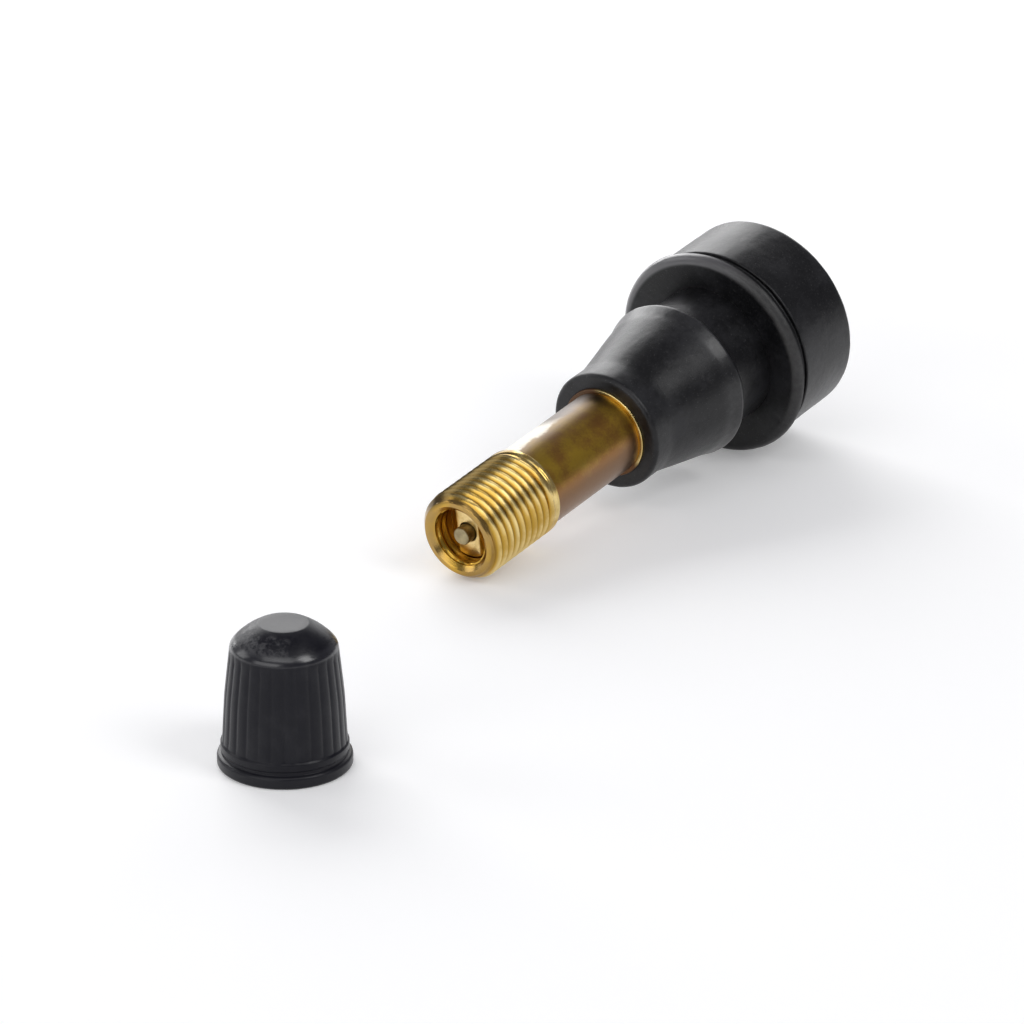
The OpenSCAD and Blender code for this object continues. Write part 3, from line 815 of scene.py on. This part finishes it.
# %% Turn the plug and its bridge
PLUG_COLUMNS = 240
plug = Skin(PLUG_COLUMNS)
plug.outline(rounded(under_mouth([
    (PLUG_BORE_R, BRIDGE_FOOT, 0), (PLUG_R - PLUG_CUT, BRIDGE_FOOT, 0), (PLUG_R, BRIDGE_FOOT + PLUG_CUT, 0),
])))
plug.thread(PLUG_R, below_mouth(PLUG_END), CORE_PITCH, plug_thread)
plug.outline(rounded(under_mouth([
    (SKIRT_R, PLUG_END, 0), (SKIRT_R, SKIRT_END, SKIRT_EDGE), (SKIRT_LIP_R, SKIRT_END, SKIRT_LIP_EDGE),
    (SKIRT_LIP_R, SKIRT_END - SKIRT_LIP, 0), (SKIRT_ROOM_R, SKIRT_END - SKIRT_LIP, 0),
    (SKIRT_ROOM_R, PLUG_END, 0), (PLUG_BORE_R, PLUG_END, 0),
])))
plug.close()
plug.rings.clear()
plug.outline(rounded(under_mouth([
    (PIN_HOLE_R, BRIDGE_FOOT, 0), (PIN_HOLE_R, BRIDGE_TOP + PIN_HOLE_BEVEL, 0),
    (PIN_HOLE_R + PIN_HOLE_BEVEL, BRIDGE_TOP, 0),
])))
for share in BEVEL_SHARES:
    depth = BRIDGE_TOP + BRIDGE_BEVEL * (1 - share) ** 2
    plug.ring(bridge_edge(BRIDGE_BEVEL * share), below_mouth(depth))
plug.ring(bridge_edge(0), below_mouth(BRIDGE_FOOT))
plug.close()
piece("bridge_plug", plug.bm, LYING, core_brass.owner, "valve", "core_plug")

# %% [markdown]
# ## The pin
# A gauge or a pump pushes the pin in. It is one turned piece, with a head in the bridge, a stop below it and
# a riveted end that holds the seal's cup. It could be joined to the cup, but the cup is a solid of its own,
# so the pin is turned alone. It rides on the plunger, so it moves when it is pushed.

# %% Turn the pin
PIN_COLUMNS = 64
PIN_TOP = 0.4
PIN_CROWN = 0.06
PIN_HEAD_R = 0.75
PIN_HEAD_EDGE = 0.15
STOP_TOP = 3.18
STOP_END = 3.63
STOP_R = 0.95
STOP_EDGE = 0.05
PIN_R = 0.45
CUP_END = 15.25
RIVET_END = 15.7
RIVET_EDGE = 0.08
RIVET_TIP_EDGE = 0.1
pin = Skin(PIN_COLUMNS)
pin.outline(rounded(under_mouth([
    (0, PIN_TOP, 0), (PIN_HEAD_R, PIN_TOP + PIN_CROWN, PIN_HEAD_EDGE), (PIN_HEAD_R, STOP_TOP, 0),
    (STOP_R, STOP_TOP, STOP_EDGE), (STOP_R, STOP_END, STOP_EDGE), (PIN_R, STOP_END, 0),
    (PIN_R, CUP_END, 0), (PIN_HEAD_R, CUP_END, RIVET_EDGE), (PIN_R, RIVET_END, RIVET_TIP_EDGE),
    (0, RIVET_END, 0),
])))
piece("domed_pin", pin.bm, LYING, pin_metal.owner, "plunger", "core_pin")

# %% [markdown]
# ## The spring
# A coil could be a curve with a bevel, but swept by hand the first and the last turn can lie closed, as on a
# real spring.

# %% Coil the spring
SPRING_TOP = 3.65
SPRING_END = 12.83
SPRING_R = 0.78
SPRING_TURNS = 9
WIRE_R = 0.13
WIRE_SIDES = 10
STEPS_PER_TURN = 28


def wire_depth(turn):
    """Depth of the wire's middle after so many turns, with the first and the last turn closed."""
    first, last, closed = SPRING_TOP + WIRE_R, SPRING_END - WIRE_R, 2 * WIRE_R
    pitch = (last - first - 2 * closed) / (SPRING_TURNS - 2)
    opened = min(max(turn - 1, 0), SPRING_TURNS - 2)
    return first + closed * (turn - opened) + pitch * opened


coil = bmesh.new()
sections = []
for step in range(SPRING_TURNS * STEPS_PER_TURN + 1):
    turn = step / STEPS_PER_TURN
    spin = Matrix.Rotation(-2 * math.pi * turn, 4, "Z")
    section = []
    for side in range(WIRE_SIDES):
        around = 2 * math.pi * side / WIRE_SIDES
        radius = SPRING_R + WIRE_R * math.cos(around)
        height = below_mouth(wire_depth(turn) + WIRE_R * math.sin(around))
        section.append(coil.verts.new(spin @ Vector((radius, 0, height))))
    sections.append(section)
for near, far in zip(sections, sections[1:]):
    for side in range(WIRE_SIDES):
        coil.faces.new((near[side - 1], near[side], far[side], far[side - 1]))
coil.faces.new(sections[0])
coil.faces.new(sections[-1])
print("spring:", SPRING_TURNS, "turns,", len(coil.verts), "points")

# %% Make the spring and give it a mesh of its own
spring = piece("coil_spring", coil, LYING, spring_steel.owner, "valve", "core_spring")
spring_foot = LYING @ Vector((0, 0, below_mouth(SPRING_END) * MM))
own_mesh(spring)

# %% [markdown]
# ## The cap's sizes
# The cap stands on its mouth. From the floor up it has a flange, a fine groove, a bead, the ribbed wall that
# fingers turn it by, a soft shoulder, a dome and a flat disc. Inside, a thread is cut to fit the stem. Its
# heights are counted from the floor. The sizes could wait for the mesh, but they come first, because the
# finish finds the flange, the shoulder and the disc by them.

# %% Sizes of the cap, outside
CAP_HEIGHT = 11.3
FLANGE_R = 5.075
FLANGE_HEIGHT = 0.95
FLANGE_EDGE = 0.285
CAP_BEAD_R = 4.8
CAP_BEAD_LOW = 1.3
CAP_BEAD_SLOPE = 0.05
CAP_BEAD_EDGE_LOW = 0.1
CAP_BEAD_EDGE_HIGH = 0.12
CAP_GROOVE_R = CAP_BEAD_R - 0.06
CAP_GROOVE_EDGE = 0.08
WALL_R = 4.68
WALL_LOW = 1.9
WALL_SLOPE = 0.1
WALL_WAIST_R = 4.48
WALL_WAIST_HEIGHT = 5.6
WALL_SWEEP = 20
SHOULDER_R = 4.03
SHOULDER_HEIGHT = 9.62
SHOULDER_EDGE = 0.85
DOME_CROWN = 0.15
DOME_STEPS = 8
DISC_R = 1.9
DISC_EDGE = 0.4
print("cap:", CAP_HEIGHT, "mm high,", 2 * FLANGE_R, "mm across its flange")

# %% Sizes of the cap's ribs and inside
RIBS = 28
RIB_DEPTH = 0.08
RIB_TOP = 9.35
RIB_FADE = 0.25
RIB_ROUNDNESS = 1.5
CAP_BORE_R = 3.9
CAP_BORE_DEPTH = 6.6
CAP_MOUTH_HEIGHT = 0.3
CAP_MOUTH_SPREAD = 0.2
CAP_THREAD_CUT = 0.35
CAP_THREAD_FADE = 0.6
ROOM_R = 3.2
ROOM_TOP = 9.9
print("cap:", RIBS, "ribs, bore", 2 * CAP_BORE_R, "mm")

# %% [markdown]
# ## The cap's finish
# The cap is moulded from black plastic with a dull, slightly grainy skin, a little greyer in soft patches.
# Its flat top and its flange are painted a little greyer, a painted reflection. The shoulder has some gloss,
# and one side of the dome has light scuffs. They could be painted one by one, but a noise cut off at a
# threshold spreads them as unevenly as wear does.

# %% Colours and masks of the cap's plastic
PLASTIC_BLACK = (0.0045, 0.0045, 0.0085, 1)
# Greyer plastic for random patches, and for the top and the flange as a painted reflection.
GREY_WEAR_AND_REFLECTION = (0.013, 0.013, 0.017, 1)
SCUFF_GREY = (0.075, 0.075, 0.080, 1)
SCUFFED_SIDE = math.radians(240)

plastic = new_finish("cap_plastic")
at = plastic.millimetres(STANDING)
height = plastic.part(at, "Z")
worn = plastic.cloud(at, 0.5, 4)
pores = plastic.cloud(at, 11, 2)
marks = plastic.cloud(at, 0.35, 2) + 0.6 * plastic.cloud(at, 2.4, 4, 0.7)
on_flange = 1 - plastic.band(height, FLANGE_HEIGHT - 0.05, FLANGE_HEIGHT + 0.15)
past_ribs = plastic.band(height, RIB_TOP - 0.05, RIB_TOP + 0.15)
past_shoulder = plastic.band(height, SHOULDER_HEIGHT + 0.28, SHOULDER_HEIGHT + 0.58)
on_shoulder = past_ribs * (1 - past_shoulder)
on_top = plastic.band(height, CAP_HEIGHT - 0.3, CAP_HEIGHT)
on_dome = plastic.band(height, SHOULDER_HEIGHT + 0.18, SHOULDER_HEIGHT + 0.68) * (1 - on_top)
scuffed_side = plastic.band(plastic.facing(at, SCUFFED_SIDE), -1.5, 2.5)
scuffs = on_dome * scuffed_side * plastic.band(marks, 0.77, 0.92)
print("masks of the plastic:", len(plastic.tree.nodes), "nodes so far")

# %% Mix the cap's plastic
# Greyer in random patches, and on the top and the flange as a painted reflection.
wear_and_painted_reflection = plastic.band(worn, 0.4, 0.8) + 0.6 * on_top + 0.8 * on_flange
skin_colour = plastic.mix(wear_and_painted_reflection, PLASTIC_BLACK, GREY_WEAR_AND_REFLECTION)
plastic.feed(plastic.shader, {
    "Base Color": plastic.mix(scuffs * 0.7, skin_colour, SCUFF_GREY),
    "Specular IOR Level": 0.24,
    "Roughness": 0.22 + 0.12 * worn + 0.06 * pores + 0.2 * scuffs + 0.07 * on_top,
    "Coat Weight": on_shoulder * (0.5 + worn),
    "Coat Roughness": 0.2,
    "Normal": plastic.bump(pores + 0.5 * worn + 0.6 * scuffs, 0.010),
})
print("cap finish:", len(plastic.tree.nodes), "nodes")

# %% [markdown]
# ## The cap
# The ribs could be copies of one bar around the wall, but here they are a radius that changes with the
# angle, which keeps the whole cap one mesh. The dome is a low arch over the straight way from the shoulder
# to the disc.

# %% Shape the cap's dome, ribs and thread
def dome(share):
    """A corner of the dome, on the way from the shoulder to the disc's edge."""
    slope = Vector((DISC_R - SHOULDER_R, CAP_HEIGHT - SHOULDER_HEIGHT))
    outward = Vector((slope.y, -slope.x)).normalized()
    arch = 4 * share * (1 - share)
    spot = Vector((SHOULDER_R, SHOULDER_HEIGHT)) + slope * share + outward * DOME_CROWN * arch
    return spot.x, spot.y, 0


def ribbed(radius, height):
    """Radius as a function of the angle, with the grooves between the ribs on the wall only."""
    rise = min(1, max(0, (height - WALL_LOW) / RIB_FADE))
    fall = min(1, max(0, (RIB_TOP - height) / RIB_FADE))
    depth = RIB_DEPTH * min(rise, fall)

    def at_angle(angle):
        across = abs(math.sin(RIBS * angle / 2))
        return radius - depth * (1 - across) ** RIB_ROUNDNESS

    return at_angle if depth else radius


def inner_thread(level, height):
    """Radius of the cap's thread, which fades out towards the mouth."""
    return CAP_BORE_R - CAP_THREAD_CUT * height * min(1, level / CAP_THREAD_FADE)


print("top of the dome's arch:", [round(value, 2) for value in dome(0.5)[:2]], "mm")

# %% Turn the cap
COLUMNS_PER_RIB = 12
CAP_THREAD_ROWS = 8
CAP_STEP = 0.4
ON_AXIS = 1e-6
cap = Skin(RIBS * COLUMNS_PER_RIB)
cap.outline([
    (0, ROOM_TOP), (ROOM_R / 2, ROOM_TOP), (ROOM_R, ROOM_TOP - ROOM_R / 2), (ROOM_R, CAP_BORE_DEPTH),
    (CAP_BORE_R, CAP_BORE_DEPTH),
])
cap.thread(CAP_BORE_R, CAP_MOUTH_HEIGHT, THREAD_PITCH, inner_thread, steps=CAP_THREAD_ROWS)
flange_and_bead = [
    (CAP_BORE_R, CAP_MOUTH_HEIGHT, 0), (CAP_BORE_R + CAP_MOUTH_SPREAD, 0, 0), (FLANGE_R, 0, FLANGE_EDGE),
    (FLANGE_R, FLANGE_HEIGHT, FLANGE_EDGE), (CAP_GROOVE_R, FLANGE_HEIGHT + CAP_GROOVE_EDGE, CAP_GROOVE_EDGE),
    (CAP_GROOVE_R, CAP_BEAD_LOW, CAP_GROOVE_EDGE),
    (CAP_BEAD_R, CAP_BEAD_LOW + CAP_BEAD_SLOPE, CAP_BEAD_EDGE_LOW),
    (CAP_BEAD_R, WALL_LOW - CAP_BEAD_SLOPE, CAP_BEAD_EDGE_HIGH),
]
wall_to_disc = [
    (WALL_R, WALL_LOW + WALL_SLOPE, WALL_SLOPE), (WALL_WAIST_R, WALL_WAIST_HEIGHT, WALL_SWEEP),
    (SHOULDER_R, SHOULDER_HEIGHT, SHOULDER_EDGE), *[dome(i / DOME_STEPS) for i in range(1, DOME_STEPS)],
    (DISC_R, CAP_HEIGHT, DISC_EDGE), (0, CAP_HEIGHT, 0),
]
outside = with_steps(rounded(flange_and_bead + wall_to_disc), CAP_STEP)
for radius, height in outside[1:]:
    cap.ring(ribbed(radius, height) if radius > ON_AXIS else 0, height)
piece("ribbed_cap", cap.bm, STANDING, plastic.owner, "valve", "cap")

# %% [markdown]
# ## The floor
# The photograph shows the valve on plain white. The white could be left empty, but then no shadow would
# show what the valve lies on. So the floor is a pale disc that keeps a soft shadow, and a glow is added to
# it for the eye and for reflections only, by the Light Path node, so that no extra light falls on the
# object.

# %% Lay the floor
FLOOR_R = 3.0
FLOOR_SIDES = 96
floor_mesh = bpy.data.meshes.new("floor")
floor_bm = bmesh.new()
bmesh.ops.create_circle(floor_bm, cap_ends=True, radius=FLOOR_R, segments=FLOOR_SIDES)
floor_bm.to_mesh(floor_mesh)
floor_bm.free()
floor = bpy.data.objects.new("floor", floor_mesh)
floor.location.z = floor_z
bpy.context.scene.collection.objects.link(floor)
print("floor at", round(floor_z / MM, 2), "mm")

# %% Make the floor's paper
PAPER_WHITE = (0.88, 0.88, 0.88, 1)
GLOW_WHITE = (1, 1, 1, 1)
FLOOR_GLOW = 0.2
paper = new_finish("floor_paper")
paper.feed(paper.shader, {"Base Color": PAPER_WHITE, "Roughness": 0.9, "Specular IOR Level": 0.1})
lit = Wire(paper, paper.shader.outputs[0])
glow = paper.node("Emission", {}, {"Color": GLOW_WHITE, "Strength": FLOOR_GLOW})
lifted = paper.node("AddShader", {}, {0: lit, 1: glow})
seen_by = ("Camera", "Glossy", "Transmission")
rays = [paper.node("LightPath", {}, {}, f"Is {kind} Ray") for kind in seen_by]
surface = paper.node("MixShader", {}, {0: rays[0] + rays[1] + rays[2], 1: lit, 2: lifted})
paper.tree.links.new(surface.socket, paper.tree.nodes["Material Output"].inputs["Surface"])
floor_mesh.materials.append(paper.owner)
print("paper:", len(paper.tree.nodes), "nodes")

# %% [markdown]
# ## Lamps and world
# The highlights in the photograph tell where its light came from, so a lamp isn't placed by its spot in the
# room but by the direction in which the valve sees it. The cap's flat top and the rubber mirror a wide
# bright window low behind on the left, which fades to the back. A smaller and stronger lamp hangs high on
# the right, and a dim one above. The flanks of the thread and the cap's shoulder mirror a wide lamp in
# front, and the bead's edge one in front on the left. The world is grey, with a white horizon.

# %% Hang the lamps
LAMP_DISTANCE = 0.9


def soft_lamp(name, azimuth, elevation, wide, tall, strength):
    """A lamp seen at an azimuth, 0 in front and 90 on the right, and an elevation, all in degrees."""
    turn, rise = math.radians(azimuth), math.radians(elevation)
    way = Vector((math.sin(turn) * math.cos(rise), -math.cos(turn) * math.cos(rise), math.sin(rise)))
    data = bpy.data.lights.new(name, "AREA")
    data.shape = "RECTANGLE"
    data.size = 2 * LAMP_DISTANCE * math.tan(math.radians(wide) / 2)
    data.size_y = 2 * LAMP_DISTANCE * math.tan(math.radians(tall) / 2)
    data.energy = strength * math.pi * data.size * data.size_y
    lamp = bpy.data.objects.new(name, data)
    bpy.context.scene.collection.objects.link(lamp)
    aim = way.to_track_quat("Z", "Y").to_matrix().to_4x4()
    lamp.matrix_world = Matrix.Translation(way * LAMP_DISTANCE) @ aim
    print(name, round(data.energy, 2), "watts")


soft_lamp("lamp_window", azimuth=-119, elevation=28, wide=42, tall=42, strength=4.0)
soft_lamp("lamp_back", azimuth=-157, elevation=21, wide=34, tall=32, strength=1.6)
soft_lamp("lamp_right", azimuth=92, elevation=46, wide=20, tall=28, strength=4.6)
soft_lamp("lamp_front", azimuth=1, elevation=20, wide=48, tall=26, strength=1.7)
soft_lamp("lamp_front_left", azimuth=-62, elevation=22, wide=24, tall=26, strength=1.8)
soft_lamp("lamp_above", azimuth=20, elevation=57, wide=50, tall=20, strength=1.5)

# %% Colour the world
HORIZON_WHITE = (1, 1, 1, 1)
STUDIO_GREY = (0.18, 0.18, 0.20, 1)
HORIZON_BAND = 0.06
world = bpy.data.worlds.new("studio")
bpy.context.scene.world = world
air = Finish(world)
rise = air.part(air.node("TexCoord", {}, {}, "Generated"), "Z")
shade = air.mix(air.band(rise, 0.0, HORIZON_BAND), HORIZON_WHITE, STUDIO_GREY)
air.feed(air.tree.nodes["Background"], {"Color": shade, "Strength": 1.0})
bpy.context.scene.view_settings.view_transform = "Standard"
print("world:", len(air.tree.nodes), "nodes")
